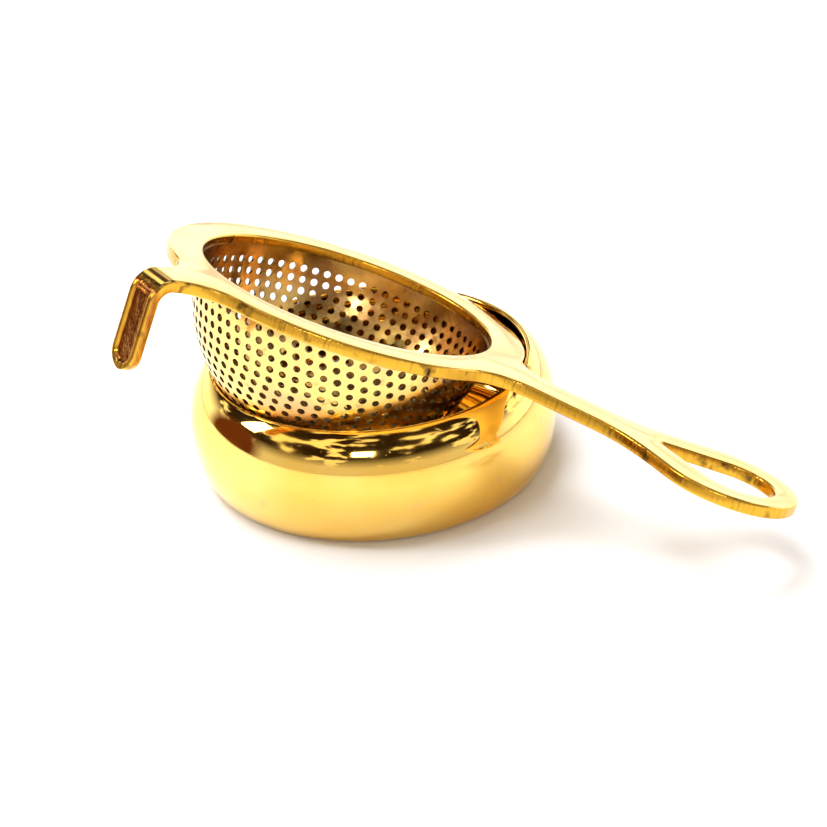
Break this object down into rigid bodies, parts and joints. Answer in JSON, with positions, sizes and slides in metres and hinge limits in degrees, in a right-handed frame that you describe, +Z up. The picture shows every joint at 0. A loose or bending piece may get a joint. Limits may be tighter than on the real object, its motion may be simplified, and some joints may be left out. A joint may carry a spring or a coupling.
{
  "type": "tea strainer",
  "caption": "Brass tea strainer with a perforated basket, slotted handle and rest hook, lying tilted in its round drip bowl and lifting out of it.",
  "frame": {"origin": "centre of the drip bowl's flat base, where it stands on the table", "axes": "+Z up along the bowl's axis, +X the way the strainer's handle points seen from above"},
  "size_m": [0.1242, 0.0858, 0.0537],
  "materials": {
    "bowl_brass": "spun and mirror polished, fine handling scratches",
    "frame_brass": "cast, filed edges, polished faces",
    "basket_brass": "pressed and perforated sheet, lightly tarnished"
  },
  "bodies": {
    "bowl": {"drip_bowl": "bowl_brass"},
    "strainer": {"strainer_frame": "frame_brass", "strainer_basket": "basket_brass"}
  },
  "joints": [
    {"name": "strainer_lift", "type": "slide", "parent": "bowl", "child": "strainer", "axis": [0, 0, 1], "range_m": [0, 0.05]}
  ]
}
